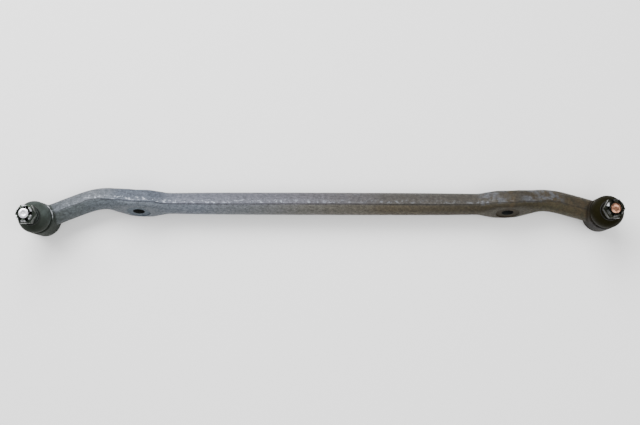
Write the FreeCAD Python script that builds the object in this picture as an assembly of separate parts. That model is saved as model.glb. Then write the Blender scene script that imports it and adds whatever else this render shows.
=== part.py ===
"""Steering center link: a forged bar with two tie rod holes and a ball stud at each end.

Frame while modelling: X runs along the bar, Z along the studs, and the straight part of
the bar lies on the X axis. At the end everything is moved so that the origin is at the
bottom centre of the part, lying on its closed sockets with the studs up. Millimetres.
"""
import FreeCAD
import Part
import math
import os

V = FreeCAD.Vector

# Link layout
left_drop = 20.9               # left ball centre, below the bar axis in plan
right_drop = 12.1              # right ball centre, below the bar axis in plan
left_hole_distance = 225.6     # left tie rod hole, from the middle of the link
right_hole_distance = 234.2    # right tie rod hole, from the middle of the link
left_arm_reach = 124.4         # from the left hole to the left ball, along the bar
right_arm_reach = 115.8        # from the right hole to the right ball, along the bar
left_rise = 8.3                # how far the left arm first bends the other way
right_rise = 6.6               # how far the right arm first bends the other way
hole_to_rise = 5.5             # from a hole to the start of the rise, along the bar
hole_to_bend = 49.4            # from a hole to the arm's main bend, along the bar
bend_radius = 60.0             # centre line radius of every bend

# Forged bar and arms
bar_diameter = 28.2            # middle of the bar
swell_flat = 120.0             # the bar keeps that diameter along this length
swell_fade = 120.0             # then it fades to the diameter of the arms
arm_diameter = 27.4            # arms, and the bar towards its ends
neck_depth = 0.8               # how much the bar is drawn in beside each lug
neck_distance = 39.0           # from a hole to the narrowest place of that neck

parting_ridge_height = 0.6     # trimmed flash left along the forging, above and below
parting_ridge_width = 2.6
parting_lean = 7.0             # the ridge's lean from upright, towards the holes' side
wide_turns = (15, 25, 40, 75, 110, 131, 141, 155)  # other control points, from the ridge on

# Tie rod lugs
lug_tilt = 15.0                # hole axis leans this far out of the plan, in degrees
lug_thickness = 23.6           # forged, before the faces are machined
lug_height = 41.8              # across the lug, square to the hole
lug_flat_run = 16.0            # full section along this length
lug_fade = 28.0                # then it fades into the bar over this length
lug_offset = 0.8               # the lug reaches this much further towards the bar
lug_squareness = 10.0          # exponent of the lug's rounded section, 2 is an ellipse
lug_face_width = 22.0          # between the two machined faces
lug_face_diameter = 29.0       # of each machined face
tie_rod_hole_diameter = 14.6   # large end, at the side that the holes face
taper_ratio = 8.0              # length for one unit of diameter, holes and studs alike

# Ball sockets
socket_diameter = 40.0
socket_above = 16.5            # rim above the ball centre
socket_below = 22.4            # closed end below the ball centre
socket_bevel = 2.8             # at the closed end
rim_bevel = 0.8                # at the open end
bore_diameter = 31.2           # bearing bore
seat_height = 9.2              # shoulder that holds the upper bearing
mouth_clearance = 0.6          # between the tilted stud and the mouth
mouth_top = 13.2               # floor of the recess for the boot
boot_recess_diameter = 32.2
cover_diameter = 33.0
cover_thickness = 3.2
rolled_lip = 1.5               # metal rolled over the cover
rolled_lip_reach = 2.2         # how far it reaches over the cover

# Ball studs
ball_diameter = 27.0
ball_flat = 12.2               # flat under the ball, from its centre
stud_swing = 21.1              # largest lean of the stud, in degrees
neck_diameter = 12.0
neck_top = 16.5
taper_start = 25.0             # height of the taper's large end
taper_length = 20.0
taper_small_diameter = 14.3
thread_diameter = 14.0
stud_tip = 65.5                # height of the stud's end
stud_bevel = 0.8
centre_mark_diameter = 3.4
cotter_hole_diameter = 3.4
running_gap = 0.05             # between the ball and its bearings
bore_gap = 0.05                # between the bearings and the bore

# Bearings and spring
bearing_split = 1.0            # open space between the two bearings
upper_bearing_depth = 0.5      # how far the upper bearing passes the ball's equator
cup_floor = 2.0                # of the lower bearing, under the ball
spring_diameter = 18.0
spring_hole_diameter = 8.0
spring_thickness = 1.0
spring_rise = 1.2              # how much the conical spring is dished
spring_recess_gap = 0.6        # around the spring
spring_crush = 0.7             # free space between the lower bearing and the cover

# Dust boot and its rings
boot_wall = 1.6
boot_base_gap = 0.15           # between the boot's foot and the recess
boot_foot_height = 1.5
boot_diameter = 39.6           # widest
boot_widest = 26.5             # height of the widest place
boot_shoulder = 38.6           # height where the dome meets the neck
boot_neck_diameter = 20.8
boot_top = 42.3
boot_stud_gap = 0.3            # between the boot's neck and the stud
base_ring_height = 1.8
base_ring_width = 2.0          # from the recess inwards
base_ring_gap = 0.1            # between the base ring and the boot
neck_ring_wire = 1.4
neck_ring_gap = 0.3

# Castle nut
nut_across_flats = 22.0
nut_bottom = 48.5
nut_height = 11.0              # of the six-sided part
crown_diameter = 20.2
crown_height = 6.0
crown_slot_width = 4.2
crown_slots = 6
crown_slot_floor = 0.6         # metal between a slot and the six-sided part
nut_bevel_angle = 30.0
thread_gap = 0.05

# Lengths worked out from the ones above
ball_radius = ball_diameter / 2
cup_radius = ball_radius + running_gap
bearing_radius = bore_diameter / 2 - bore_gap
cover_floor = -socket_below + rolled_lip
cover_roof = cover_floor + cover_thickness
cup_bottom = cover_roof + spring_crush
spring_top = cover_roof + spring_thickness + spring_rise
boot_waist = boot_recess_diameter / 2 - base_ring_width - base_ring_gap
taper_end = taper_start + taper_length
taper_large_diameter = taper_small_diameter + taper_length / taper_ratio
tilt = math.radians(lug_tilt)
swing = math.radians(stud_swing)

sides = {
    "left": {"sign": -1, "drop": left_drop, "rise": left_rise,
             "hole": left_hole_distance, "ball": left_hole_distance + left_arm_reach},
    "right": {"sign": 1, "drop": right_drop, "rise": right_rise,
              "hole": right_hole_distance, "ball": right_hole_distance + right_arm_reach},
}


def ball_centre(side):
    return V(side["sign"] * side["ball"], -side["drop"], 0)


def hole_centre(side):
    return V(side["sign"] * side["hole"], 0, 0)


def solid_of_revolution(edges):
    """Turn a closed outline, drawn in the XZ plane, about the Z axis."""
    face = Part.Face(Part.Wire(Part.__sortEdges__(edges)))
    return Part.makeSolid(face.revolve(V(0, 0, 0), V(0, 0, 1), 360))


def outline(points):
    """Straight edges through (radius, height) pairs, closed."""
    corners = [V(r, 0, z) for r, z in points]
    return Part.makePolygon(corners + corners[:1]).Edges


def centre_line():
    """The bent centre line of the forging, from the left ball to the right ball."""
    corners = []
    for side in (sides["left"], sides["right"]):
        run = [
            ball_centre(side),
            V(side["sign"] * (side["hole"] + hole_to_bend), side["rise"], 0),
            V(side["sign"] * (side["hole"] + hole_to_rise), 0, 0),
        ]
        corners += run if side["sign"] < 0 else run[::-1]
    edges = []
    start = corners[0]
    for before, corner, after in zip(corners, corners[1:], corners[2:]):
        to_before = (before - corner).normalize()
        to_after = (after - corner).normalize()
        half = to_before.getAngle(to_after) / 2
        inward = (to_before + to_after).normalize()
        first = corner + to_before * (bend_radius / math.tan(half))
        last = corner + to_after * (bend_radius / math.tan(half))
        middle = corner + inward * (bend_radius / math.sin(half) - bend_radius)
        edges.append(Part.makeLine(start, first))
        edges.append(Part.Arc(first, middle, last).toShape())
        start = last
    edges.append(Part.makeLine(start, corners[-1]))
    return edges


def place_on_line(edges, x):
    """The point of the centre line at this x, and its direction towards +X."""
    for edge in edges:
        low, high = edge.FirstParameter, edge.LastParameter
        ends = sorted((edge.valueAt(low).x, edge.valueAt(high).x))
        if not ends[0] - 1e-6 <= x <= ends[1] + 1e-6:
            continue
        rising = edge.valueAt(high).x > edge.valueAt(low).x
        for _ in range(50):
            middle = (low + high) / 2
            if (edge.valueAt(middle).x < x) == rising:
                low = middle
            else:
                high = middle
        direction = edge.tangentAt(low)
        return edge.valueAt(low), direction if direction.x > 0 else direction * -1
    raise ValueError("x lies outside the link")


def fade(distance, flat, length):
    """1 within the flat half-length, then down to 0 over the given length."""
    beyond = min(max(abs(distance) - flat, 0), length)
    return (1 + math.cos(math.pi * beyond / length)) / 2


def lug_centre_x(side):
    return side["sign"] * (side["hole"] - lug_offset)


def lug_share(x):
    """How much of the lug's section there is at x, from 0 to 1."""
    return max(fade(x - lug_centre_x(s), lug_flat_run / 2, lug_fade) for s in sides.values())


def section_at(x):
    """Half thickness, half height and squareness of the forging's section at x."""
    neck = max(fade(x - s["sign"] * (s["hole"] - neck_distance), 0, neck_distance / 2)
               for s in sides.values())
    middle = fade(x, swell_flat / 2, swell_fade)
    radius = arm_diameter / 2 + (bar_diameter - arm_diameter) / 2 * middle - neck_depth * neck
    share = lug_share(x)
    half_thickness = radius + (lug_thickness / 2 - radius) * share
    half_height = radius + (lug_height / 2 - radius) * share
    return half_thickness, half_height, 2 + (lug_squareness - 2) * share


def reach(section, angle):
    """Distance from the centre to the section's edge, at an angle from the thickness."""
    half_thickness, half_height, power = section
    across = (abs(math.cos(angle)) / half_thickness) ** power
    along = (abs(math.sin(angle)) / half_height) ** power
    return (across + along) ** (-1 / power)


def section_poles(edges, x):
    """Control points that make a smooth ring follow the forging's section at x.

    They lie close together at the two parting lines, where they raise a narrow ridge.
    """
    centre, direction = place_on_line(edges, x)
    sideways = V(-direction.y, direction.x, 0)
    section = section_at(x)
    parting = math.pi / 2 + tilt + math.radians(parting_lean) * (1 - lug_share(x))
    step = parting_ridge_width / 2 / reach(section, parting)
    half_turn = [0, step, 2 * step] + [math.radians(turn) for turn in wide_turns]
    half_turn += [math.pi - 2 * step, math.pi - step]
    turns = half_turn + [math.pi + turn for turn in half_turn]
    ring = []
    for turn, before, after in zip(turns, turns[-1:] + turns, turns[1:] + turns[:1]):
        overshoot = 6 / (4 + math.cos(turn - before) + math.cos(after - turn))
        angle = parting + turn
        distance = reach(section, angle) * overshoot
        if turn in (0, math.pi):
            distance += parting_ridge_height * 3 / 2
        ring.append(centre + sideways * (distance * math.cos(angle - tilt))
                    + V(0, 0, distance * math.sin(angle - tilt)))
    return ring


def smooth_skin(rings):
    """A solid with one smooth skin over the rings and a flat face at each end."""
    spans, count = len(rings) - 3, len(rings[0])
    surface = Part.BSplineSurface()
    surface.buildFromPolesMultsKnots(
        rings, [4] + [1] * (spans - 1) + [4], [1] * (count + 1),
        list(range(spans + 1)), list(range(count + 1)), False, True, 3, 3)
    skin = surface.toShape()
    ends = [Part.Face(Part.Wire([edge])) for edge in skin.Edges if not edge.isSeam(skin)]
    shell = Part.makeShell([skin] + ends)
    shell.sewShape()
    solid = Part.makeSolid(shell)
    solid.fix(1e-6, 1e-6, 1e-6)
    return solid


def station_list():
    """The places along X where the forging's section is drawn."""
    stations = [0.0]
    bend = bend_radius / 8
    full = lug_flat_run / 2
    for side in sides.values():
        hole, sign = side["hole"], side["sign"]
        lug, outer = hole - lug_offset, hole + hole_to_bend
        fading = [full + lug_fade * k / 4 for k in range(5)]
        places = [hole / 3, hole - neck_distance * 3 / 2]
        places += [lug - step for step in fading] + [lug] + [lug + step for step in fading]
        places += [outer - bend, outer + bend]
        places += [outer + bend + (side["ball"] - outer - bend) * k / 4 for k in range(1, 5)]
        stations += [sign * place for place in places]
    return sorted(stations)


def socket_outside(side):
    """The round housing at one end, still solid."""
    radius = socket_diameter / 2
    profile = outline([
        (0, -socket_below),
        (radius - socket_bevel, -socket_below),
        (radius, -socket_below + socket_bevel * 1.8),
        (radius, socket_above - rim_bevel),
        (radius - rim_bevel, socket_above),
        (0, socket_above),
    ])
    housing = solid_of_revolution(profile)
    housing.translate(ball_centre(side))
    return housing


def socket_inside(side):
    """Everything that is bored out of one housing."""
    spread, lift = math.tan(swing), neck_diameter / 2 / math.cos(swing) + mouth_clearance
    lip_radius = cover_diameter / 2 - rolled_lip_reach
    profile = outline([
        (0, -socket_below - 1),
        (lip_radius, -socket_below - 1),
        (lip_radius, cover_floor),
        (cover_diameter / 2, cover_floor),
        (cover_diameter / 2, cover_roof),
        (bore_diameter / 2, cover_roof),
        (bore_diameter / 2, seat_height),
        (seat_height * spread + lift, seat_height),
        (mouth_top * spread + lift, mouth_top),
        (boot_recess_diameter / 2, mouth_top),
        (boot_recess_diameter / 2, socket_above + 1),
        (0, socket_above + 1),
    ])
    room = solid_of_revolution(profile)
    room.translate(ball_centre(side))
    return room


def tie_rod_cuts(side):
    """The tapered hole and the two machined faces of one lug."""
    axis = V(0, -math.cos(tilt), math.sin(tilt))
    centre = hole_centre(side)
    half = lug_face_width / 2
    over = lug_thickness
    large = tie_rod_hole_diameter / 2 + over / (2 * taper_ratio)
    small = tie_rod_hole_diameter / 2 - (lug_face_width + over) / (2 * taper_ratio)
    hole = Part.makeCone(small, large, lug_face_width + 2 * over,
                         centre - axis * (half + over), axis)
    faces = [Part.makeCylinder(lug_face_diameter / 2, over, centre + axis * half, axis),
             Part.makeCylinder(lug_face_diameter / 2, over, centre - axis * half, axis * -1)]
    return [hole] + faces


def forged_link_body():
    edges = centre_line()
    bar = smooth_skin([section_poles(edges, x) for x in station_list()])
    body = bar.fuse([socket_outside(side) for side in sides.values()])
    for side in sides.values():
        body = body.cut([socket_inside(side)] + tie_rod_cuts(side))
    return body.Solids[0]


def upper_bearing():
    height = seat_height + upper_bearing_depth
    ring = Part.makeCylinder(bearing_radius, height, V(0, 0, -upper_bearing_depth))
    mouth = Part.makeCylinder(seat_height * math.tan(swing)
                              + neck_diameter / 2 / math.cos(swing) + mouth_clearance,
                              height, V(0, 0, 0))
    return ring.cut([Part.makeSphere(cup_radius), mouth])


def lower_bearing():
    top = -upper_bearing_depth - bearing_split
    cup = Part.makeCylinder(bearing_radius, top - cup_bottom, V(0, 0, cup_bottom))
    recess = Part.makeCylinder(spring_diameter / 2 + spring_recess_gap,
                               spring_top - cup_bottom, V(0, 0, cup_bottom))
    return cup.cut([Part.makeSphere(cup_radius), recess])


def preload_spring():
    inner, outer = spring_hole_diameter / 2, spring_diameter / 2
    spring = solid_of_revolution(outline([
        (outer, cover_roof),
        (outer, cover_roof + spring_thickness),
        (inner, spring_top),
        (inner, spring_top - spring_thickness),
    ]))
    return spring


def cover_plate():
    radius = cover_diameter / 2
    return Part.makeCylinder(radius, cover_thickness, V(0, 0, cover_floor))


def ball_stud():
    neck, tip = neck_diameter / 2, thread_diameter / 2
    foot = math.sqrt(ball_radius ** 2 - ball_flat ** 2)
    top = math.sqrt(ball_radius ** 2 - neck ** 2)
    mark = centre_mark_diameter / 2
    points = [
        (neck, top), (neck, neck_top),
        (taper_large_diameter / 2, taper_start),
        (taper_small_diameter / 2, taper_end),
        (tip, taper_end), (tip, stud_tip - stud_bevel),
        (tip - stud_bevel, stud_tip), (mark, stud_tip), (0, stud_tip - mark),
        (0, -ball_flat), (foot, -ball_flat),
    ]
    edges = Part.makePolygon([V(r, 0, z) for r, z in points]).Edges
    edges.append(Part.Arc(V(foot, 0, -ball_flat), V(ball_radius, 0, 0), V(neck, 0, top)).toShape())
    stud = solid_of_revolution(edges)
    level = nut_bottom + nut_height + (crown_slot_floor + crown_height) / 2
    hole = Part.makeCylinder(cotter_hole_diameter / 2, 2 * thread_diameter,
                             V(-thread_diameter, 0, level), V(1, 0, 0))
    return stud.cut(hole)


def dome_edge(widest, height, end_radius, end_height):
    """A round edge that stands upright at its widest place and ends at the given point."""
    inset, rise = widest - end_radius, end_height - height
    radius = (inset ** 2 + rise ** 2) / (2 * inset)
    half_turn = math.atan2(rise, radius - inset) / 2
    middle = V(widest - radius + radius * math.cos(half_turn), 0,
               height + radius * math.sin(half_turn))
    return Part.Arc(V(widest, 0, height), middle, V(end_radius, 0, end_height)).toShape()


def dust_boot():
    foot_radius = boot_recess_diameter / 2 - boot_base_gap
    waist, widest, neck = boot_waist, boot_diameter / 2, boot_neck_diameter / 2
    foot_top = mouth_top + boot_foot_height
    shank = taper_small_diameter / 2 + (taper_end - boot_shoulder) / (2 * taper_ratio)
    inner_neck = shank + boot_stud_gap
    inner_shoulder = boot_shoulder - boot_wall
    outside = [
        (waist - boot_wall, mouth_top), (foot_radius, mouth_top), (foot_radius, foot_top),
        (waist, foot_top), (waist, socket_above),
    ]
    top = [
        (neck, boot_shoulder), (neck, boot_top), (inner_neck, boot_top),
        (inner_neck, inner_shoulder),
    ]
    inside = [(waist - boot_wall, socket_above), (waist - boot_wall, mouth_top)]
    edges = []
    for run in (outside, top, inside):
        edges += Part.makePolygon([V(r, 0, z) for r, z in run]).Edges
    edges.append(dome_edge(widest, boot_widest, waist, socket_above))
    edges.append(dome_edge(widest, boot_widest, neck, boot_shoulder))
    thin = widest - boot_wall
    edges.append(dome_edge(thin, boot_widest, waist - boot_wall, socket_above))
    edges.append(dome_edge(thin, boot_widest, inner_neck, inner_shoulder))
    return solid_of_revolution(edges)


def boot_base_ring():
    low = mouth_top + boot_foot_height
    outer = boot_recess_diameter / 2
    ring = Part.makeCylinder(outer, base_ring_height, V(0, 0, low))
    return ring.cut(Part.makeCylinder(outer - base_ring_width, base_ring_height, V(0, 0, low)))


def boot_neck_ring():
    wire = neck_ring_wire / 2
    level = (boot_shoulder + boot_top) / 2
    return Part.makeTorus(boot_neck_diameter / 2 + neck_ring_gap + wire, wire, V(0, 0, level))


def castle_nut():
    corner = nut_across_flats / 2 / math.cos(math.pi / 6)
    top = nut_bottom + nut_height
    rim = top + crown_height
    corners = [V(corner * math.cos(math.radians(60 * k)), corner * math.sin(math.radians(60 * k)),
                 nut_bottom) for k in range(7)]
    hexagon = Part.Face(Part.makePolygon(corners)).extrude(V(0, 0, nut_height))
    slope = math.tan(math.radians(nut_bevel_angle))
    bevel = (corner - nut_across_flats / 2) * slope
    flat = nut_across_flats / 2
    rounding = solid_of_revolution(outline([
        (0, nut_bottom), (flat, nut_bottom), (corner, nut_bottom + bevel),
        (corner, top - bevel), (flat, top), (0, top),
    ]))
    crown_radius = crown_diameter / 2
    crown = solid_of_revolution(outline([
        (0, top), (crown_radius, top), (crown_radius, rim - stud_bevel),
        (crown_radius - stud_bevel, rim), (0, rim),
    ]))
    nut = hexagon.common(rounding).fuse(crown)
    bore = Part.makeCylinder(thread_diameter / 2 + thread_gap, rim - nut_bottom,
                             V(0, 0, nut_bottom))
    slots = []
    for k in range(crown_slots):
        slot = Part.makeBox(crown_radius + 1, crown_slot_width, crown_height,
                            V(0, -crown_slot_width / 2, top + crown_slot_floor))
        slot.rotate(V(0, 0, 0), V(0, 0, 1), 360 / crown_slots * k)
        slots.append(slot)
    return nut.cut([bore] + slots)


def build():
    """Every piece by name, in the frame of the finished part."""
    pieces = {"forged_link_body": forged_link_body()}
    makers = {
        "ball_stud": ball_stud,
        "upper_bearing": upper_bearing,
        "lower_bearing": lower_bearing,
        "preload_spring": preload_spring,
        "cover_plate": cover_plate,
        "dust_boot": dust_boot,
        "boot_base_ring": boot_base_ring,
        "boot_neck_ring": boot_neck_ring,
        "castle_nut": castle_nut,
    }
    for name, side in sides.items():
        for piece, make in makers.items():
            shape = make()
            shape.translate(ball_centre(side))
            pieces[name + "_" + piece] = shape
    box = FreeCAD.BoundBox()
    for shape in pieces.values():
        box.add(shape.optimalBoundingBox(True, False))
    shift = V(-box.Center.x, -box.Center.y, -box.ZMin)
    for shape in pieces.values():
        shape.translate(shift)
    return pieces, shift


pieces, shift = build()
os.makedirs("parts", exist_ok=True)
for name, shape in pieces.items():
    shape.exportStep("parts/" + name + ".step")
print("bar axis at y %.3f, z %.3f, middle of the link at x %.3f" % (shift.y, shift.z, shift.x))
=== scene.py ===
import math

import bmesh
import bpy
from mathutils import Matrix, Vector


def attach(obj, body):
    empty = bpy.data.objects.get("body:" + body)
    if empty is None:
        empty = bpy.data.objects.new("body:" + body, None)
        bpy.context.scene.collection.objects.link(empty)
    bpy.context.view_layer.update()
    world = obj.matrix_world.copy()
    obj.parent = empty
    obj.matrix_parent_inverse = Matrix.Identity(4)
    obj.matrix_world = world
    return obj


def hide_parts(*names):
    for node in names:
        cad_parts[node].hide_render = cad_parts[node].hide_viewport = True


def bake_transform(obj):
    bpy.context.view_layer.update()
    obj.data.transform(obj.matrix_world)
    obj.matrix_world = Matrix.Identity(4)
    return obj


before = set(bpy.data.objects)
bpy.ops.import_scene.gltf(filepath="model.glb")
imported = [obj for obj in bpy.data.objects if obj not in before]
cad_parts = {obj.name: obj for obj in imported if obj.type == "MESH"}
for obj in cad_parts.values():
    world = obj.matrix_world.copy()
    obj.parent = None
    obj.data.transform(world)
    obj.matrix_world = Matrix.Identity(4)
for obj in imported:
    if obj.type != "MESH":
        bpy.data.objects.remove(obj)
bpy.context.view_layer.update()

MM = 0.001

# Places in the frame of the finished part, in millimetres
HALF_LENGTH = 370.0
BAR_AXIS_Y = 10.764
BAR_AXIS_Z = 22.4
BALLS = {"left": (-350.0, -10.136), "right": (350.0, -1.336)}
HOLES = {"left": -225.6, "right": 234.2}
HOLE_TILT = math.radians(15)
LUG_FACE_RADIUS = 14.5
HOLE_RADIUS = 6.61             # of the tapered hole, halfway through the lug
TAPER_RATIO = 8
SOCKET_RIM_RADIUS = 19.5
TOOL_FEED = 1.2                # between the turning marks on the lug faces
# Colours that fade along the link grow darker to the right, partly painted shade
FADE_REACH = 300.0             # the small pieces' colours change between this and its opposite

# What the curves of the two lines below can show, in millimetres to each side, and how far
# above and below the bar's axis the parting line changes side
PLAN_REACH = 30.0
LEAN_REACH = 2.0
CHANGE_OVER = 2.0

# The middle of the forging in plan, from the bar's axis, and how far beside it the
# parting line runs, which leans over on the bar but not on the lugs
MIDDLE_LINE = (
    (-370, -28.8), (-350, -20.9), (-297, 0.2), (-276, 5.6), (-255, 4.0), (-231, 0.4),
    (-215, 0.0), (0, 0.0), (224, 0.0), (240, 0.3), (262, 3.2), (284, 4.6), (305, 0.6),
    (350, -12.1), (370, -17.8),
)
PARTING_OFFSET = (
    (-370, 1.7), (-262, 1.7), (-240, 0.2), (-210, 0.2), (-190, 1.7), (0, 1.7),
    (198, 1.7), (219, 0.2), (249, 0.2), (270, 1.7), (370, 1.7),
)


# Nodes

# Settings that many nodes share
MULTIPLY = {"operation": "MULTIPLY"}
SMOOTHSTEP = {"interpolation_type": "SMOOTHSTEP"}
MIX_NUMBERS = {"data_type": "FLOAT"}
MIX_COLOURS = {"data_type": "RGBA"}
MULTIPLY_COLOURS = {"data_type": "RGBA", "blend_type": "MULTIPLY"}


def add(tree, kind, settings=(), sockets=()):
    """One shader node with its settings. A socket's value is a number, a colour or a link.
    Sockets 1 to 4 of a MapRange are the range that it reads and the range that it gives. A Mix
    has its share at 0, its numbers at 2 and 3, and its colours at 6 and 7."""
    made = tree.nodes.new("ShaderNode" + kind)
    for name, value in dict(settings).items():
        if name == "stops":
            for place, code in value:
                stop = made.color_ramp.elements.new(place)
                stop.color = colour(code)
            made.color_ramp.elements.remove(made.color_ramp.elements[0])
            made.color_ramp.elements.remove(made.color_ramp.elements[-1])
        elif name == "points":
            curve = made.mapping.curves[0]
            curve.points[0].location = value[0]
            curve.points[-1].location = value[-1]
            for x, y in value[1:-1]:
                curve.points.new(x, y)
            made.mapping.update()
        else:
            setattr(made, name, value)
    for name, value in dict(sockets).items():
        if isinstance(value, bpy.types.NodeSocket):
            tree.links.new(value, made.inputs[name])
        else:
            made.inputs[name].default_value = value
    return made


def colour(code):
    """A linear colour from an sRGB hex value."""
    parts = [int(code[i:i + 2], 16) / 255 for i in (0, 2, 4)]
    return [c / 12.92 if c <= 0.04045 else ((c + 0.055) / 1.055) ** 2.4 for c in parts] + [1.0]


def new_material(name):
    """An empty material with its tree, its shader and the object coordinates."""
    made = bpy.data.materials.new(name)
    made.use_nodes = True
    tree = made.node_tree
    tree.nodes.clear()
    output = add(tree, "OutputMaterial")
    shader = add(tree, "BsdfPrincipled")
    tree.links.new(shader.outputs["BSDF"], output.inputs["Surface"])
    place = add(tree, "TexCoord").outputs["Object"]
    return made, tree, shader, place


def share_along(x):
    """A place along the link as a share of its length, which the ramps read."""
    return (x + HALF_LENGTH) / (2 * HALF_LENGTH)


def stops_along(*stops):
    """The stops of a colour ramp along the link, each placed by its x in millimetres."""
    return {"stops": [(share_along(x), code) for x, code in stops]}


def from_ball_axis(tree, place):
    """The distance in plan, in metres, from the axis of the nearer ball joint."""
    nearest = None
    for x, y in BALLS.values():
        level = add(tree, "Mapping", (), {
            "Vector": place, "Location": (-x * MM, -y * MM, 0), "Scale": (1, 1, 0)}).outputs[0]
        away = add(tree, "VectorMath", {"operation": "LENGTH"}, {0: level}).outputs["Value"]
        nearest = away if nearest is None else add(
            tree, "Math", {"operation": "MINIMUM"}, {0: nearest, 1: away}).outputs[0]
    return nearest


def beside_parting_line(tree, axes, along):
    """The distance in metres, towards +Y, from the forging's parting line."""
    line = add(tree, "FloatCurve", {"points": [
        (share_along(x), (y + PLAN_REACH) / (2 * PLAN_REACH)) for x, y in MIDDLE_LINE]},
        {"Value": along}).outputs[0]
    middle = add(tree, "MapRange", (), {
        "Value": line, 1: 0, 2: 1,
        3: (BAR_AXIS_Y - PLAN_REACH) * MM, 4: (BAR_AXIS_Y + PLAN_REACH) * MM}).outputs[0]
    beside = add(tree, "Math", {"operation": "SUBTRACT"}, {0: axes["Y"], 1: middle}).outputs[0]
    # The parting line changes side between top and bottom
    lean = add(tree, "FloatCurve", {"points": [
        (share_along(x), y / LEAN_REACH) for x, y in PARTING_OFFSET]}, {"Value": along}).outputs[0]
    top = add(tree, "MapRange", (), {
        "Value": axes["Z"], 1: (BAR_AXIS_Z - CHANGE_OVER) * MM, 2: (BAR_AXIS_Z + CHANGE_OVER) * MM,
        3: -LEAN_REACH * MM, 4: LEAN_REACH * MM}).outputs[0]
    shift = add(tree, "Math", MULTIPLY, {0: lean, 1: top}).outputs[0]
    return add(tree, "Math", {"operation": "ADD"}, {0: beside, 1: shift}).outputs[0]


def scale_rust_and_painted_light(tree, along, above, patches, spots):
    """The colour of the forged skin, partly painted light: paler and bluer at the left, darker
    at the right. The patches move the change from scale to rust about.
    """
    wander = add(tree, "Math", {"operation": "MULTIPLY_ADD"},
                 {0: patches, 1: 0.09, 2: along}).outputs[0]
    wander = add(tree, "Math", {"operation": "SUBTRACT"}, {0: wander, 1: 0.045}).outputs[0]
    # Painted light: both ramps are painted paler and bluer at the left, with a painted reflection
    # of the sky, and darker at the right as painted shade, on top of the real change from grey
    # scale to brown rust
    upper = add(tree, "ValToRGB", stops_along(
        (-370, "2e3132"), (-325, "474c51"), (-290, "575b61"), (-250, "454b55"),
        (-205, "454b55"), (-170, "545761"), (-20, "4d4c52"), (90, "3a3836"),
        (230, "322f29"), (290, "262115"), (350, "1d1a10")), {0: wander}).outputs[0]
    lower = add(tree, "ValToRGB", stops_along(
        (-370, "252927"), (-325, "3b4040"), (-290, "464c51"), (-150, "545961"),
        (-20, "504f4b"), (90, "403a2e"), (230, "231e0f"), (290, "2e2a19"),
        (350, "1d1a0f")), {0: wander}).outputs[0]
    base = add(tree, "Mix", MIX_COLOURS, {0: above, 6: lower, 7: upper}).outputs[2]

    # Grey-blue scale is still whole in places on the right lug and arm
    whole = add(tree, "ValToRGB", stops_along(
        (120, "000000"), (195, "000000"), (203, "ffffff"), (226, "ffffff"), (233, "000000"),
        (246, "000000"), (256, "ffffff"), (292, "ffffff"), (304, "000000")),
        {0: along}).outputs[0]
    broken = add(tree, "MapRange", SMOOTHSTEP,
                 {"Value": spots, 1: 0.4, 2: 0.58, 3: 0, 4: 0.7}).outputs[0]
    for mask in (broken, above):
        whole = add(tree, "Math", MULTIPLY, {0: whole, 1: mask}).outputs[0]
    base = add(tree, "Mix", MIX_COLOURS, {0: whole, 6: base, 7: colour("4a4c51")}).outputs[2]

    # Rust spots, close together on the right half
    rust = add(tree, "ValToRGB", stops_along(
        (-120, "000000"), (60, "606060"), (228, "606060"), (237, "e0e0e0"), (244, "606060"),
        (370, "707070")), {0: along}).outputs[0]
    rusty = add(tree, "MapRange", SMOOTHSTEP,
                {"Value": spots, 1: 0.62, 2: 0.42, 3: 0, 4: 1}).outputs[0]
    rusty = add(tree, "Math", MULTIPLY, {0: rust, 1: rusty}).outputs[0]
    return add(tree, "Mix", MIX_COLOURS, {0: rusty, 6: base, 7: colour("352b19")}).outputs[2]


def soil_and_shade_barrels(tree, axes, along, barrel_grime_and_shade, base):
    """The colour with grime and painted shade on the barrels of the sockets, olive at the left
    and brown at the right, and more painted shade on their front halves, away from the light."""
    grime_and_shade_tint = add(tree, "ValToRGB", stops_along((-300, "a4ac9c"), (300, "aca27c")),
                {0: along}).outputs[0]
    base = add(tree, "Mix", MULTIPLY_COLOURS, {0: barrel_grime_and_shade, 6: base, 7: grime_and_shade_tint}).outputs[2]
    # Painted shade: the front halves of the barrels, away from the light, are painted darker still
    ball_y = add(tree, "MapRange", (), {
        "Value": axes["X"], 1: BALLS["left"][0] * MM, 2: BALLS["right"][0] * MM,
        3: BALLS["left"][1] * MM, 4: BALLS["right"][1] * MM}).outputs[0]
    front_shade = add(tree, "Math", {"operation": "SUBTRACT"}, {0: axes["Y"], 1: ball_y}).outputs[0]
    front_shade = add(tree, "MapRange", SMOOTHSTEP,
                {"Value": front_shade, 1: -4 * MM, 2: -14 * MM, 3: 0, 4: 1}).outputs[0]
    front_shade = add(tree, "Math", MULTIPLY, {0: barrel_grime_and_shade, 1: front_shade}).outputs[0]
    front_shade_tint = add(tree, "ValToRGB", stops_along((-300, "d8e2cf"), (300, "a3945c")),
                 {0: along}).outputs[0]
    return add(tree, "Mix", MULTIPLY_COLOURS, {0: front_shade, 6: base, 7: front_shade_tint}).outputs[2]


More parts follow.
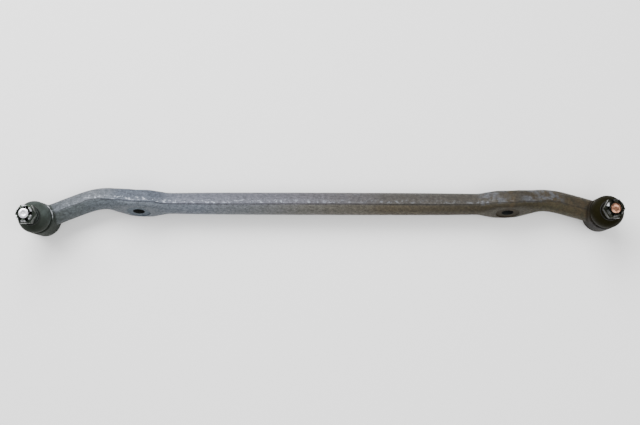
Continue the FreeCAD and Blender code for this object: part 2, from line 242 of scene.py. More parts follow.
def rubbed_and_highlit_places(tree, axes, along, from_line, drawn_out):
    """Where the scale is rubbed off just above the parting line, most on the left half, with a
    painted highlight there on the lit side of the ridge.
    """
    near = add(tree, "MapRange", SMOOTHSTEP,
               {"Value": from_line, 1: 0.4 * MM, 2: 1.6 * MM, 3: 0, 4: 1}).outputs[0]
    far = add(tree, "MapRange", SMOOTHSTEP,
              {"Value": from_line, 1: 7.5 * MM, 2: 2.5 * MM, 3: 0, 4: 1}).outputs[0]
    on_top = add(tree, "MapRange", (), {
        "Value": axes["Z"], 1: BAR_AXIS_Z * MM, 2: (BAR_AXIS_Z + 6) * MM, 3: 0, 4: 1}).outputs[0]
    strokes = add(tree, "TexNoise", (), {
        "Vector": drawn_out, "Scale": 1 / (3 * MM), "Detail": 4, "Roughness": 0.7}).outputs[0]
    strokes = add(tree, "MapRange", SMOOTHSTEP,
                  {"Value": strokes, 1: 0.53, 2: 0.61, 3: 0.06, 4: 1}).outputs[0]
    how_much = add(tree, "ValToRGB", stops_along(
        (-340, "909090"), (-270, "ffffff"), (-30, "c0c0c0"), (60, "686868"), (100, "909090"),
        (135, "585858"), (200, "808080"), (232, "505050"), (300, "303030"), (340, "000000")),
        {0: along}).outputs[0]
    worn_and_highlit = near
    for mask in (far, on_top, strokes, how_much):
        worn_and_highlit = add(tree, "Math", MULTIPLY, {0: worn_and_highlit, 1: mask}).outputs[0]
    return worn_and_highlit


def bare_rim(tree, place, axes, mottle):
    """The left socket's rim, where it is rubbed to bare metal on the side towards the bar."""
    x, y = BALLS["left"]
    to_socket = add(tree, "Mapping", (), {
        "Vector": place, "Location": (-x * MM, -y * MM, 0), "Scale": (1, 1, 0)}).outputs[0]
    away = add(tree, "VectorMath", {"operation": "LENGTH"}, {0: to_socket}).outputs["Value"]
    edge = add(tree, "Math", {"operation": "SUBTRACT"},
               {0: away, 1: SOCKET_RIM_RADIUS * MM}).outputs[0]
    edge = add(tree, "Math", {"operation": "ABSOLUTE"}, {0: edge}).outputs[0]
    edge = add(tree, "MapRange", SMOOTHSTEP,
               {"Value": edge, 1: 0.9 * MM, 2: 0.3 * MM, 3: 0, 4: 1}).outputs[0]
    high = add(tree, "MapRange", (), {
        "Value": axes["Z"], 1: (BAR_AXIS_Z + 15.4) * MM, 2: (BAR_AXIS_Z + 15.9) * MM,
        3: 0, 4: 1}).outputs[0]
    inward = add(tree, "SeparateXYZ", (), {0: to_socket}).outputs
    turn = add(tree, "Math", {"operation": "MULTIPLY_ADD"},
               {0: inward["Y"], 1: 0.5, 2: inward["X"]}).outputs[0]
    turn = add(tree, "MapRange", SMOOTHSTEP,
               {"Value": turn, 1: 18.2 * MM, 2: 21.2 * MM, 3: 0, 4: 1}).outputs[0]
    gone = add(tree, "MapRange", (), {"Value": mottle, 1: 0.4, 2: 0.6, 3: 0.15, 4: 0.9}).outputs[0]
    rim = edge
    for mask in (high, turn, gone):
        rim = add(tree, "Math", MULTIPLY, {0: rim, 1: mask}).outputs[0]
    return rim


def around_holes(tree, place):
    """The distances in metres from the axis of the nearer tie rod hole: the true one, and the
    one that stays the same along the taper's wall."""
    flats = None
    bores = None
    for hole_x in HOLES.values():
        centred = add(tree, "Mapping", {"vector_type": "TEXTURE"}, {
            "Vector": place, "Rotation": (math.pi / 2 - HOLE_TILT, 0, 0),
            "Location": (hole_x * MM, BAR_AXIS_Y * MM, BAR_AXIS_Z * MM)}).outputs[0]
        parts = add(tree, "SeparateXYZ", (), {0: centred}).outputs
        level = add(tree, "CombineXYZ", (), {0: parts[0], 1: parts[1]}).outputs[0]
        radius = add(tree, "VectorMath", {"operation": "LENGTH"}, {0: level}).outputs["Value"]
        taper = add(tree, "Math", {"operation": "MULTIPLY_ADD"},
                    {0: parts[2], 1: -0.5 / TAPER_RATIO, 2: radius}).outputs[0]
        flats = radius if flats is None else add(
            tree, "Math", {"operation": "MINIMUM"}, {0: flats, 1: radius}).outputs[0]
        bores = taper if bores is None else add(
            tree, "Math", {"operation": "MINIMUM"}, {0: bores, 1: taper}).outputs[0]
    return flats, bores


def forged_steel():
    """Drop-forged steel as it left the die, under mill scale that has partly turned to rust:
    cool grey at the left, brown at the right, which is partly painted light, paler and bluer at
    the left and darker at the right. The scale gives a fine grain, and the high places beside
    the parting line are rubbed bright, partly a painted highlight."""
    made, tree, shader, place = new_material("drop_forged_steel_under_scale")
    axes = add(tree, "SeparateXYZ", (), {0: place}).outputs
    along = add(tree, "MapRange", (), {
        "Value": axes["X"], 1: -HALF_LENGTH * MM, 2: HALF_LENGTH * MM, 3: 0, 4: 1}).outputs[0]
    from_line = beside_parting_line(tree, axes, along)
    above = add(tree, "MapRange", SMOOTHSTEP,
                {"Value": from_line, 1: -3 * MM, 2: 1 * MM, 3: 0, 4: 1}).outputs[0]

    # Patches of 45 mm, rust spots of 9 mm, mottling of 2.4 mm drawn out along the bar, and
    # a grain of 1 mm
    patches = add(tree, "TexNoise", (), {
        "Vector": place, "Scale": 1 / (45 * MM), "Detail": 3, "Roughness": 0.55}).outputs[0]
    spots = add(tree, "TexNoise", (), {
        "Vector": place, "Scale": 1 / (9 * MM), "Detail": 4, "Roughness": 0.6,
        "Distortion": 0.3}).outputs[0]
    drawn_out = add(tree, "Mapping", (), {"Vector": place, "Scale": (0.6, 1, 1)}).outputs[0]
    mottle = add(tree, "TexNoise", (), {
        "Vector": drawn_out, "Scale": 1 / (2.4 * MM), "Detail": 4, "Roughness": 0.7}).outputs[0]
    grain = add(tree, "TexNoise", (), {
        "Vector": place, "Scale": 1 / (1 * MM), "Detail": 2, "Roughness": 0.6}).outputs[0]

    # The skin, its tone mottled and grainy
    base = scale_rust_and_painted_light(tree, along, above, patches, spots)
    tone = add(tree, "MapRange", (), {
        "Value": mottle, 1: 0.3, 2: 0.7, 3: 0.55, 4: 1.45}).outputs[0]
    sandy = add(tree, "MapRange", (), {"Value": grain, 1: 0.3, 2: 0.7, 3: 0.7, 4: 1.3}).outputs[0]
    tone = add(tree, "Math", MULTIPLY, {0: tone, 1: sandy}).outputs[0]
    base = add(tree, "Mix", MULTIPLY_COLOURS, {0: 1.0, 6: base, 7: tone}).outputs[2]
    # The barrels near the balls are painted darker: grime, and partly painted shade
    barrel_grime_and_shade = add(tree, "MapRange", SMOOTHSTEP, {
        "Value": from_ball_axis(tree, place), 1: 23.5 * MM, 2: 20.5 * MM, 3: 0, 4: 1}).outputs[0]
    base = soil_and_shade_barrels(tree, axes, along, barrel_grime_and_shade, base)
    # Bright strokes above the parting line: rubbed bare steel and a painted highlight
    worn_and_highlit = rubbed_and_highlit_places(tree, axes, along, from_line, drawn_out)
    base = add(tree, "Mix", MIX_COLOURS, {0: worn_and_highlit, 6: base, 7: colour("9da3ae")}).outputs[2]

    # Painted shade: a dark line in the corner under the ridge, the shadow of the trimmed flash
    # along the parting line
    off = add(tree, "Math", {"operation": "ADD"}, {0: from_line, 1: 0.2 * MM}).outputs[0]
    off = add(tree, "Math", {"operation": "ABSOLUTE"}, {0: off}).outputs[0]
    ridge_shade = add(tree, "MapRange", SMOOTHSTEP,
               {"Value": off, 1: 1 * MM, 2: 0.3 * MM, 3: 0, 4: 0.55}).outputs[0]
    base = add(tree, "Mix", MULTIPLY_COLOURS,
               {0: ridge_shade, 6: base, 7: colour("5a5a5c")}).outputs[2]
    base = add(tree, "Mix", MIX_COLOURS, {
        0: bare_rim(tree, place, axes, mottle), 6: base, 7: colour("b9bcc2")}).outputs[2]

    # The faces turned round the tapered holes are stained brown at the right, and the holes
    #     are painted almost black inside as painted shade in the bores
    flats, bores = around_holes(tree, place)
    machined = add(tree, "MapRange", (), {
        "Value": flats, 1: (LUG_FACE_RADIUS - 0.1) * MM, 2: (LUG_FACE_RADIUS + 0.1) * MM,
        3: 1, 4: 0}).outputs[0]
    stain = add(tree, "ValToRGB", stops_along((-50, "f2fbff"), (50, "dfd49c")),
                {0: along}).outputs[0]
    base = add(tree, "Mix", MULTIPLY_COLOURS, {0: machined, 6: base, 7: stain}).outputs[2]
    bore_shade = add(tree, "MapRange", (), {
        "Value": bores, 1: (HOLE_RADIUS + 0.16) * MM, 2: (HOLE_RADIUS + 0.06) * MM,
        3: 0, 4: 1}).outputs[0]
    base = add(tree, "Mix", MIX_COLOURS, {0: bore_shade, 6: base, 7: colour("0e1211")}).outputs[2]
    tree.links.new(base, shader.inputs["Base Color"])

    # The grimy barrels and the turned faces are duller than the scale, the rubbed places shine
    rough = add(tree, "MapRange", (), {
        "Value": mottle, 1: 0.3, 2: 0.7, 3: 0.68, 4: 0.5}).outputs[0]
    dull = add(tree, "Math", {"operation": "MAXIMUM"}, {0: barrel_grime_and_shade, 1: machined}).outputs[0]
    rough = add(tree, "Mix", MIX_NUMBERS, {0: dull, 2: rough, 3: 0.76}).outputs[0]
    rough = add(tree, "Mix", MIX_NUMBERS, {0: worn_and_highlit, 2: rough, 3: 0.34}).outputs[0]
    tree.links.new(rough, shader.inputs["Roughness"])
    shader.inputs["Metallic"].default_value = 0.25
    shader.inputs["Specular IOR Level"].default_value = 0.3

    # The relief of the scale, almost none on the turned faces, which have tool marks instead
    strength = add(tree, "Mix", MIX_NUMBERS, {0: machined, 2: 0.7, 3: 0.15}).outputs[0]
    coarse = add(tree, "Bump", (), {
        "Height": mottle, "Distance": 0.9 * MM, "Strength": strength}).outputs[0]
    fine = add(tree, "Bump", (), {
        "Height": grain, "Distance": 0.3 * MM, "Strength": strength, "Normal": coarse}).outputs[0]
    marks = add(tree, "Math", MULTIPLY, {0: flats, 1: 2 * math.pi / (TOOL_FEED * MM)}).outputs[0]
    marks = add(tree, "Math", {"operation": "SINE"}, {0: marks}).outputs[0]
    turned_face = add(tree, "Bump", (), {
        "Height": marks, "Distance": 0.05 * MM, "Strength": machined, "Normal": fine}).outputs[0]
    tree.links.new(turned_face, shader.inputs["Normal"])
    return made


def plain(name, codes, metallic, roughness, grain_mm, depth_mm, tone_range=(0.85, 1.15)):
    """A finish with its own fine grain. Its colour goes from the first code at the left end
    of the link to the last at the right end. With the material come its tree, its shader, the
    object coordinates and the socket of its colour."""
    made, tree, shader, place = new_material(name)
    axes = add(tree, "SeparateXYZ", (), {0: place}).outputs
    along = add(tree, "MapRange", (), {
        "Value": axes["X"], 1: -FADE_REACH * MM, 2: FADE_REACH * MM, 3: 0, 4: 1}).outputs[0]
    base = add(tree, "Mix", MIX_COLOURS,
               {0: along, 6: colour(codes[0]), 7: colour(codes[-1])}).outputs[2]
    noise = add(tree, "TexNoise", (), {
        "Vector": place, "Scale": 1000 / grain_mm, "Detail": 3, "Roughness": 0.6}).outputs[0]
    tone = add(tree, "MapRange", (), {
        "Value": noise, 1: 0.3, 2: 0.7, 3: tone_range[0], 4: tone_range[1]}).outputs[0]
    base = add(tree, "Mix", MULTIPLY_COLOURS, {0: 1.0, 6: base, 7: tone}).outputs[2]
    tree.links.new(base, shader.inputs["Base Color"])
    shader.inputs["Metallic"].default_value = metallic
    rough = add(tree, "MapRange", (), {
        "Value": noise, 1: 0.3, 2: 0.7, 3: roughness + 0.06, 4: roughness - 0.06}).outputs[0]
    tree.links.new(rough, shader.inputs["Roughness"])
    bump = add(tree, "Bump", (), {
        "Height": noise, "Distance": depth_mm * MM, "Strength": 0.6}).outputs[0]
    tree.links.new(bump, shader.inputs["Normal"])
    return made, tree, shader, place, base


def nut_finish():
    """Zinc plating gone dark with oil over turned steel, bare and bright on the tops of the
    left nut's prongs, partly a painted highlight, with a painted glint outside one prong of the
    right nut. Paler at the left than at the right, partly painted light. Heights are from the
    ball's centre."""
    made, tree, shader, place = new_material("oiled_zinc_plate_on_turned_steel")
    axes = add(tree, "SeparateXYZ", (), {0: place}).outputs
    right = add(tree, "MapRange", (), {
        "Value": axes["X"], 1: -10 * MM, 2: 10 * MM, 3: 0, 4: 1}).outputs[0]
    # Stains of 4 mm and a plating grain of 0.8 mm
    stain = add(tree, "TexNoise", (), {
        "Vector": place, "Scale": 1 / (4 * MM), "Detail": 3, "Roughness": 0.6}).outputs[0]
    fine = add(tree, "TexNoise", (), {
        "Vector": place, "Scale": 1 / (0.8 * MM), "Detail": 2, "Roughness": 0.5}).outputs[0]
    # Painted paler at the left than at the right, partly painted light
    oiled = add(tree, "Mix", MIX_COLOURS,
                {0: right, 6: colour("2b302b"), 7: colour("1a1b16")}).outputs[2]
    bare = add(tree, "Mix", MIX_COLOURS,
               {0: right, 6: colour("cfd0d6"), 7: colour("b4b6ba")}).outputs[2]

    # The tops of the prongs: worn bare and partly a painted highlight, painted much fainter at the
    # right
    top = add(tree, "MapRange", SMOOTHSTEP, {
        "Value": axes["Z"], 1: (BAR_AXIS_Z + 64.3) * MM, 2: (BAR_AXIS_Z + 65.2) * MM,
        3: 0, 4: 1}).outputs[0]
    outer = add(tree, "MapRange", SMOOTHSTEP, {
        "Value": from_ball_axis(tree, place), 1: 8.6 * MM, 2: 9.2 * MM, 3: 0, 4: 1}).outputs[0]
    fainter_at_right = add(tree, "MapRange", (), {"Value": right, 1: 0, 2: 1, 3: 1, 4: 0.12}).outputs[0]
    for mask in (outer, fainter_at_right):
        top = add(tree, "Math", MULTIPLY, {0: top, 1: mask}).outputs[0]

    # Painted glint: the outside of the right nut's prong that faces the bar is painted bright bare
    # metal
    x, y = BALLS["right"]
    flank_glint = add(tree, "MapRange", SMOOTHSTEP, {
        "Value": axes["X"], 1: (x - 7.4) * MM, 2: (x - 8.2) * MM, 3: 0, 4: 1}).outputs[0]
    crown = add(tree, "MapRange", (), {
        "Value": axes["Z"], 1: (BAR_AXIS_Z + 60.4) * MM, 2: (BAR_AXIS_Z + 60.8) * MM,
        3: 0, 4: 1}).outputs[0]
    beyond = add(tree, "MapRange", (), {
        "Value": axes["Y"], 1: y * MM, 2: (y + 1) * MM, 3: 0, 4: 1}).outputs[0]
    for mask in (right, crown, beyond):
        flank_glint = add(tree, "Math", MULTIPLY, {0: flank_glint, 1: mask}).outputs[0]

    bare_and_highlit = add(tree, "Math", {"operation": "MAXIMUM"}, {0: top, 1: flank_glint}).outputs[0]
    patchy = add(tree, "MapRange", SMOOTHSTEP,
                 {"Value": stain, 1: 0.36, 2: 0.5, 3: 0.25, 4: 1}).outputs[0]
    bare_and_highlit = add(tree, "Math", MULTIPLY, {0: bare_and_highlit, 1: patchy}).outputs[0]
    tone = add(tree, "MapRange", (), {"Value": stain, 1: 0.3, 2: 0.7, 3: 0.7, 4: 1.3}).outputs[0]
    oiled = add(tree, "Mix", MULTIPLY_COLOURS, {0: 1.0, 6: oiled, 7: tone}).outputs[2]
    base = add(tree, "Mix", MIX_COLOURS, {0: bare_and_highlit, 6: oiled, 7: bare}).outputs[2]
    tree.links.new(base, shader.inputs["Base Color"])
    shader.inputs["Metallic"].default_value = 1.0
    rough = add(tree, "MapRange", (), {"Value": stain, 1: 0.3, 2: 0.7, 3: 0.36, 4: 0.2}).outputs[0]
    tree.links.new(rough, shader.inputs["Roughness"])
    bump = add(tree, "Bump", (), {
        "Height": fine, "Distance": 0.03 * MM, "Strength": 0.5}).outputs[0]
    tree.links.new(bump, shader.inputs["Normal"])
    return made


def boot_finish():
    """Moulded nitrile rubber, dull and slightly uneven in tone, with patches of pale dust at the
    left and almost black with oil at the right. Partly painted light: the pale patches are kept
    to the lit back half, and the darkening to the right is partly painted shade."""
    made, tree, shader, place, clean = plain(
        "moulded_nitrile_rubber", ("1d211d", "100e05"), 0.0, 0.6, 1.2, 0.06, (0.75, 1.25))
    axes = add(tree, "SeparateXYZ", (), {0: place}).outputs
    dust_and_light = add(tree, "MapRange", (), {
        "Value": axes["X"], 1: -FADE_REACH * MM, 2: FADE_REACH * MM, 3: 1, 4: 0}).outputs[0]
    # Painted light: the pale patches fade out towards the front, the side away from the light
    y = BALLS["left"][1]
    back = add(tree, "MapRange", SMOOTHSTEP, {
        "Value": axes["Y"], 1: (y - 16) * MM, 2: (y + 2) * MM, 3: 0.15, 4: 1}).outputs[0]
    # Patches of 8 mm
    patches = add(tree, "TexNoise", (), {
        "Vector": place, "Scale": 1 / (8 * MM), "Detail": 3, "Roughness": 0.55}).outputs[0]
    patches = add(tree, "MapRange", SMOOTHSTEP,
                  {"Value": patches, 1: 0.3, 2: 0.7, 3: 0.35, 4: 0.8}).outputs[0]
    for mask in (back, patches):
        dust_and_light = add(tree, "Math", MULTIPLY, {0: dust_and_light, 1: mask}).outputs[0]
    base = add(tree, "Mix", MIX_COLOURS, {0: dust_and_light, 6: clean, 7: colour("3d4443")}).outputs[2]
    tree.links.new(base, shader.inputs["Base Color"])
    shader.inputs["Specular IOR Level"].default_value = 0.08
    shader.inputs["Specular Tint"].default_value = colour("d2cf98")
    return made


def stud_finish():
    """Turned stud steel: the end is bare and bright at the left and passivated to a copper
    colour at the right, a change that is partly painted light, and the thread is dark with oil
    and painted shade. Heights are from the ball's centre."""
    made, tree, shader, place, base = plain(
        "turned_stud_steel", ("e6e6ec", "8f6b57"), 1.0, 0.26, 0.8, 0.02)
    axes = add(tree, "SeparateXYZ", (), {0: place}).outputs
    radius = from_ball_axis(tree, place)
    # Brown tarnish at the right, in patches of 3 mm and deep in the centre mark
    patches = add(tree, "TexNoise", (), {
        "Vector": place, "Scale": 1 / (3 * MM), "Detail": 3, "Roughness": 0.6}).outputs[0]
    tarnish = add(tree, "MapRange", SMOOTHSTEP,
                  {"Value": patches, 1: 0.44, 2: 0.62, 3: 0, 4: 0.85}).outputs[0]
    mark = add(tree, "MapRange", SMOOTHSTEP,
               {"Value": radius, 1: 2.1 * MM, 2: 1.2 * MM, 3: 0, 4: 0.9}).outputs[0]
    tarnish = add(tree, "Math", {"operation": "MAXIMUM"}, {0: tarnish, 1: mark}).outputs[0]
    right = add(tree, "MapRange", (), {
        "Value": axes["X"], 1: -FADE_REACH * MM, 2: FADE_REACH * MM, 3: 0.1, 4: 1}).outputs[0]
    tarnish = add(tree, "Math", MULTIPLY, {0: tarnish, 1: right}).outputs[0]
    base = add(tree, "Mix", MIX_COLOURS, {0: tarnish, 6: base, 7: colour("4b2f22")}).outputs[2]
    # The shank under the nut is turned but not polished
    shank = add(tree, "MapRange", (), {
        "Value": axes["Z"], 1: (BAR_AXIS_Z + 58) * MM, 2: (BAR_AXIS_Z + 60) * MM,
        3: 0.85, 4: 0}).outputs[0]
    base = add(tree, "Mix", MULTIPLY_COLOURS,
               {0: shank, 6: base, 7: colour("8c8c8c")}).outputs[2]
    # Oil between the crests of the thread, and painted shade: the thread and the end's outer edge
    # are painted near black, the dark ring between the stud's end and the nut
    oil_and_shade = add(tree, "MapRange", SMOOTHSTEP,
               {"Value": radius, 1: 5.7 * MM, 2: 6.0 * MM, 3: 0, 4: 1}).outputs[0]
    threaded = add(tree, "MapRange", (), {
        "Value": axes["Z"], 1: (BAR_AXIS_Z + 45.0) * MM, 2: (BAR_AXIS_Z + 45.3) * MM,
        3: 0, 4: 1}).outputs[0]
    oil_and_shade = add(tree, "Math", MULTIPLY, {0: oil_and_shade, 1: threaded}).outputs[0]
    base = add(tree, "Mix", MIX_COLOURS, {0: oil_and_shade, 6: base, 7: colour("1b1b18")}).outputs[2]
    tree.links.new(base, shader.inputs["Base Color"])
    return made


# Meshes

def finished(shape, name, centre, material):
    """A piece from a bmesh drawn in millimetres about a ball centre, with its finish."""
    bmesh.ops.scale(shape, verts=shape.verts, vec=(MM, MM, MM))
    bmesh.ops.translate(shape, verts=shape.verts, vec=Vector(centre) * MM)
    for face in shape.faces:
        face.smooth = True
    mesh = bpy.data.meshes.new(name)
    shape.to_mesh(mesh)
    shape.free()
    mesh.materials.append(material)
    made = bpy.data.objects.new(name, mesh)
    bpy.context.scene.collection.objects.link(made)
    return made


def turned(profile, steps, closed=True):
    """A bmesh turned from a (radius, height) profile about the Z axis, in millimetres."""
    shape = bmesh.new()
    corners = [shape.verts.new((r, 0, z)) for r, z in profile]
    followers = corners[1:] + corners[:1] if closed else corners[1:]
    edges = [shape.edges.new(pair) for pair in zip(corners, followers)]
    bmesh.ops.spin(shape, geom=corners + edges, cent=(0, 0, 0), axis=(0, 0, 1),
                   angle=2 * math.pi, steps=steps, use_merge=True)
    bmesh.ops.remove_doubles(shape, verts=shape.verts, dist=1e-4)
    bmesh.ops.recalc_face_normals(shape, faces=shape.faces)
    return shape


def crease(shape, rings):
    """Keep the rings of edges that run through these (radius, height) places sharp."""
    layer = shape.edges.layers.float.new("crease_edge")
    for edge in shape.edges:
        spots = [(math.hypot(v.co.x, v.co.y), v.co.z) for v in edge.verts]
        for r, z in rings:
            if all(abs(a - r) < 0.01 and abs(b - z) < 0.01 for a, b in spots):
                edge[layer] = 1.0
                edge.smooth = False


def smooth(piece, levels):
    """Subdivide a piece, with as many levels in a render."""
    finish = piece.modifiers.new("smooth", "SUBSURF")
    finish.levels = levels
    finish.render_levels = levels


def dust_boot(side, rubber):
    """The boot in two halves that meet at its widest line."""
    x, y = BALLS[side]
    centre = (x, y, BAR_AXIS_Z)
    lower = turned([
        (13.1, 13.2), (15.9, 13.2), (15.9, 14.7), (13.9, 14.7), (13.9, 16.3),
        (16.6, 18.0), (19.1, 20.8), (19.85, 23.6), (19.9, 26.5),
        (18.2, 26.5), (18.2, 22.9), (16.9, 19.8), (15.0, 18.0), (13.1, 16.9),
    ], 48)
    crease(lower, ((19.9, 26.5), (18.2, 26.5), (13.1, 13.2), (15.9, 13.2), (15.9, 14.7)))
    upper = turned([
        (18.2, 26.5), (19.9, 26.5), (19.85, 29.4), (18.3, 33.7), (15.0, 36.9), (11.9, 38.1),
        (10.4, 38.9), (10.1, 39.6), (10.1, 41.2), (10.6, 41.6), (10.7, 42.1), (10.2, 42.3),
        (8.0, 42.3), (8.0, 37.2), (12.6, 35.9), (16.2, 33.2), (18.1, 29.7),
    ], 48)
    crease(upper, ((19.9, 26.5), (18.2, 26.5), (8.0, 42.3)))
    halves = [finished(lower, side + "_dust_boot_lower", centre, rubber),
              finished(upper, side + "_dust_boot_upper", centre, rubber)]
    for piece in halves:
        smooth(piece, 2)
        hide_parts(side + "_dust_boot")
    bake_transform(halves[0])
    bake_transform(halves[1])


def cut_out(shape, tool):
    """The first bmesh with the second one cut out of it."""
    blanks = []
    for part in (shape, tool):
        mesh = bpy.data.meshes.new("blank")
        part.to_mesh(mesh)
        part.free()
        blanks.append(bpy.data.objects.new("blank", mesh))
        bpy.context.scene.collection.objects.link(blanks[-1])
    cut = blanks[0].modifiers.new("cut", "BOOLEAN")
    cut.object = blanks[1]
    cut.operation = "DIFFERENCE"
    cut.solver = "EXACT"
    result = bmesh.new()
    result.from_object(blanks[0], bpy.context.evaluated_depsgraph_get())
    for blank in blanks:
        bpy.data.objects.remove(blank)
    return result


def rolled_thread(low, high, pitch):
    """A closed bmesh of a 14 mm thread whose crests are rounded off at the tip."""
    steps = 36
    shape = bmesh.new()
    tooth = ((6.15, 0), (6.2, 0.15), (6.95, 0.62), (6.95, 0.83), (6.2, 1.35), (6.15, pitch))
    corners = [shape.verts.new((r, 0, low - pitch + z)) for r, z in tooth]
    edges = [shape.edges.new(pair) for pair in zip(corners, corners[1:])]
    turns = math.ceil((high - low) / pitch) + 2
    bmesh.ops.spin(shape, geom=corners + edges, cent=(0, 0, 0), axis=(0, 0, 1),
                   dvec=(0, 0, pitch / steps), angle=2 * math.pi * turns, steps=steps * turns)
    bmesh.ops.remove_doubles(shape, verts=shape.verts, dist=1e-3)
    for level, up in ((low, -1), (high, 1)):
        bmesh.ops.bisect_plane(shape, geom=shape.verts[:] + shape.edges[:] + shape.faces[:],
                               plane_co=(0, 0, level), plane_no=(0, 0, up), clear_outer=True)
        rim = [e for e in shape.edges if e.is_boundary
               and all(abs(v.co.z - level) < 1e-4 for v in e.verts)]
        bmesh.ops.edgeloop_fill(shape, edges=rim)
    # The last 0.8 mm narrow towards the tip
    for corner in shape.verts:
        allowed = 7.0 - max(0, corner.co.z - high + 0.8)
        radius = math.hypot(corner.co.x, corner.co.y)
        if radius > allowed:
            bmesh.ops.scale(shape, verts=[corner], vec=(allowed / radius, allowed / radius, 1))
    bmesh.ops.recalc_face_normals(shape, faces=shape.faces)
    return shape


def ball_stud(side, steel):
    """Turned stud: flat-bottomed ball, neck, 1:8 taper, then the thread and its cotter hole.
    Places are (radius, height) in millimetres from the ball's centre."""
    x, y = BALLS[side]
    cotter_radius = 1.7
    cotter_height = 62.8
    ball = [(13.5 * math.cos(math.radians(a)), 13.5 * math.sin(math.radians(a)))
            for a in range(-64, 64, 8)]
    shape = turned([(0, -12.2), (5.78, -12.2)] + ball + [
        (6.0, 12.09), (6.0, 16.5), (8.2, 24.6), (8.4, 25.0), (7.15, 45.0), (7.0, 45.15),
        (6.3, 45.2), (0, 45.2)], 48, closed=False)
    thread = rolled_thread(low=45.1, high=65.45, pitch=1.5)
    drill = bmesh.new()
    bmesh.ops.create_cone(drill, cap_ends=True, segments=24, radius1=cotter_radius,
                          radius2=cotter_radius, depth=20,
                          matrix=Matrix.Translation((0, 0, cotter_height))
                          @ Matrix.Rotation(math.pi / 2, 4, "Y"))
    thread = cut_out(thread, drill)
    lid = turned([(0, 64.2), (1.7, 65.4), (1.9, 65.5), (5.9, 65.5), (6.1, 65.4), (6.1, 64.9)],
                 48, closed=False)
    for part in (thread, lid):
        mesh = bpy.data.meshes.new("part")
        part.to_mesh(mesh)
        part.free()
        shape.from_mesh(mesh)
        bpy.data.meshes.remove(mesh)
    made = finished(shape, side + "_threaded_ball_stud", (x, y, BAR_AXIS_Z), steel)
    made.data.set_sharp_from_angle(angle=math.radians(32))
    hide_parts(side + "_ball_stud")
    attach(made, side + "_stud")


def castle_nut(side, zinc):
    """The nut with its edges broken, from a merged copy of its solid."""
    broken_edge = 0.3
    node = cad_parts[side + "_castle_nut"]
    shape = bmesh.new()
    shape.from_mesh(node.data)
    bmesh.ops.remove_doubles(shape, verts=shape.verts, dist=2e-6)
    bmesh.ops.dissolve_limit(shape, angle_limit=math.radians(2), verts=shape.verts,
                             edges=shape.edges)
    edges = [e for e in shape.edges if e.is_manifold and e.calc_face_angle(0) > math.radians(22)]
    bmesh.ops.bevel(shape, geom=edges, offset=broken_edge * MM, offset_type="OFFSET",
                    segments=2, profile=0.5, affect="EDGES", material=-1, clamp_overlap=True)
    for face in shape.faces:
        face.smooth = True
    mesh = bpy.data.meshes.new(side + "_nut_with_broken_edges")
    shape.to_mesh(mesh)
    shape.free()
    mesh.set_sharp_from_angle(angle=math.radians(40))
    mesh.materials.append(zinc)
    made = bpy.data.objects.new(mesh.name, mesh)
    bpy.context.scene.collection.objects.link(made)
    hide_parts(side + "_castle_nut")
    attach(made, side + "_stud")


# Camera, floor and light

def photograph_camera():
    """Almost straight above the link, a little from its front, as the photograph was taken.
    Its place, its turn and its lens were fitted to the outline in the photograph."""
    distance = 1.16797
    elevation, yaw, roll = (math.radians(v) for v in (83.217, 2.101, 0.200))
    aim = Vector((1.847, BAR_AXIS_Y - 10.934, BAR_AXIS_Z)) * MM
    back = Vector((yaw, -math.cos(elevation), math.sin(elevation))).normalized()
    right = Vector((1, 0, 0))
    right = (right - back * right.dot(back)).normalized()
    up = back.cross(right)
    across = right * math.cos(roll) + up * math.sin(roll)
    upright = up * math.cos(roll) - right * math.sin(roll)
    data = bpy.data.cameras.new("camera")
    data.sensor_width = 36
    data.lens = 52.56
    data.clip_end = 20
    camera = bpy.data.objects.new("camera", data)
    turn = Matrix((across, upright, back)).transposed().to_4x4()
    turn.translation = aim + back * distance
    camera.matrix_world = turn
    bpy.context.scene.collection.objects.link(camera)
    bpy.context.scene.camera = camera


def soft_light(name, place, aim, size, power):
    """A wide lamp at a place, turned towards its aim."""
    data = bpy.data.lights.new(name, "AREA")
    data.shape = "RECTANGLE"
    data.size, data.size_y = size
    data.energy = power
    lamp = bpy.data.objects.new(name, data)
    lamp.location = place
    lamp.rotation_euler = (Vector(aim) - Vector(place)).to_track_quat("-Z", "Y").to_euler()
    bpy.context.scene.collection.objects.link(lamp)


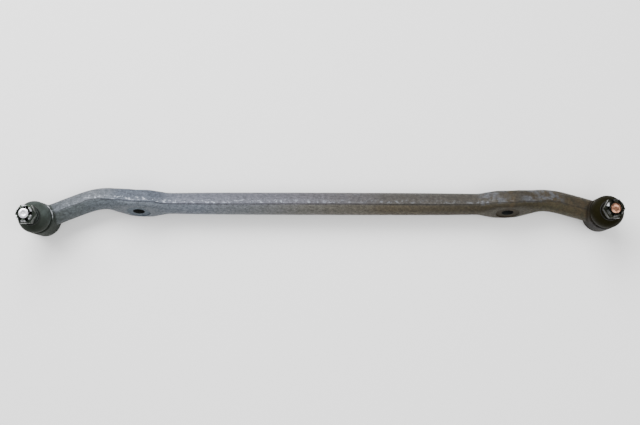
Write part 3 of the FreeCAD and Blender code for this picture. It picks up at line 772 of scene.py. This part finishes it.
def studio():
    """A pale floor, an even white sky and two soft lamps, the stronger one from the back left."""
    floor_reach = 4
    shape = bmesh.new()
    bmesh.ops.create_grid(shape, x_segments=1, y_segments=1, size=floor_reach)
    mesh = bpy.data.meshes.new("floor")
    shape.to_mesh(mesh)
    shape.free()
    floor = bpy.data.objects.new("floor", mesh)
    # A hair lower than the undersides, so that no two faces share one plane
    floor.location.z = -0.1 * MM
    bpy.context.scene.collection.objects.link(floor)
    # Matt paper, which shows only the soft shadow
    made, _, shader, _ = new_material("white_paper_floor")
    shader.inputs["Base Color"].default_value = colour("f4f4f4")
    shader.inputs["Roughness"].default_value = 0.9
    shader.inputs["Specular IOR Level"].default_value = 0.0
    mesh.materials.append(made)
    world = bpy.data.worlds.new("studio")
    world.use_nodes = True
    sky = world.node_tree.nodes["Background"]
    sky.inputs["Color"].default_value = colour("ffffff")
    sky.inputs["Strength"].default_value = 0.8
    bpy.context.scene.world = world
    soft_light("key_light", (-0.6, 1.0, 1.3), (0, 0, 0), (1.8, 0.9), 56)
    soft_light("fill_light", (0.5, -0.5, 1.7), (0, 0, 0), (1.6, 1.0), 24)


# Finishes

steel = forged_steel()
rubber = boot_finish()
zinc = nut_finish()
ground = stud_finish()
# Dark strip with a soft sheen
spring = plain("blackened_spring_steel", ("4a4b4d",), 0.9, 0.4, 1.0, 0.03)[0]
# Flat plate in blotches of grey scale, browner and darker at the right, partly painted shade
pressed = plain("pressed_steel_under_scale", ("4d4e50", "443e34"), 0.5, 0.55, 6.0, 0.05,
                (0.55, 1.35))[0]
# Thin wire, nearly black, with a dull shine, darker at the right, partly painted shade
ring = plain("blackened_wire_steel", ("1a1c1b", "12110e"), 0.6, 0.5, 1.0, 0.02)[0]
# Smooth cream-coloured plastic
bearing = plain("moulded_acetal", ("d8d4c8",), 0.0, 0.4, 2.0, 0.02)[0]
node_finish = {
    "forged_link_body": steel, "ball_stud": ground, "upper_bearing": bearing,
    "lower_bearing": bearing, "preload_spring": spring, "cover_plate": pressed,
    "boot_base_ring": ring, "boot_neck_ring": ring, "castle_nut": zinc, "dust_boot": rubber,
}
for name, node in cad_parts.items():
    kind = name.replace("left_", "").replace("right_", "")
    for place in node.material_slots:
        place.material = node_finish[kind]

for side in BALLS:
    dust_boot(side, rubber)
    ball_stud(side, ground)
    castle_nut(side, zinc)

photograph_camera()
studio()
